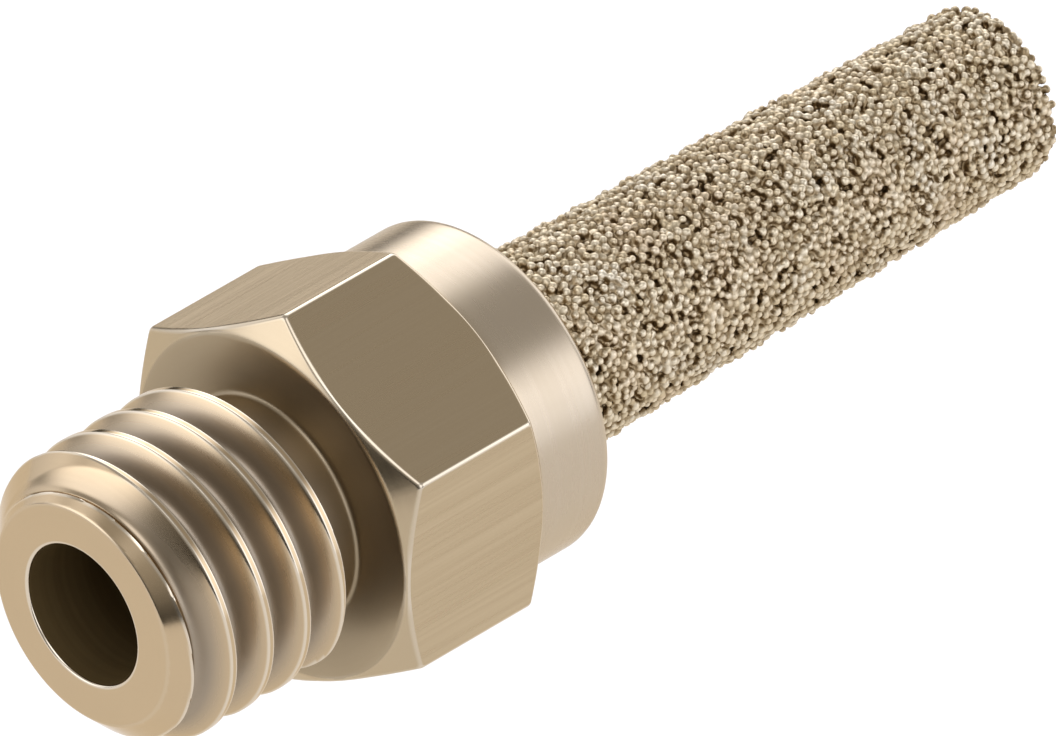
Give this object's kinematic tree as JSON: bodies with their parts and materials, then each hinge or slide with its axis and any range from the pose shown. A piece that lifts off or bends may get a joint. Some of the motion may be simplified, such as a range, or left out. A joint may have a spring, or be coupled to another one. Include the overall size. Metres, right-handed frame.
{
  "type": "pneumatic muffler",
  "caption": "Small screw-in exhaust muffler for compressed air: threaded metal body with a spanner hexagon, an air bore and a porous sintered element that spreads the air.",
  "frame": {"origin": "on the axis, in the plane of the hexagon's seating face, where the muffler meets the port it is screwed into", "axes": "+X along the axis towards the closed sintered end, so the thread points to -X; +Z to a corner of the hexagon; +Y square to two of its flats"},
  "size_m": [0.0201, 0.006, 0.0068],
  "materials": {
    "turned_brass": "satin turned and milled",
    "sintered_bronze": "porous, fused round grains"
  },
  "bodies": {
    "root": {"threaded_body": "turned_brass", "sintered_element": "sintered_bronze"}
  },
  "joints": []
}
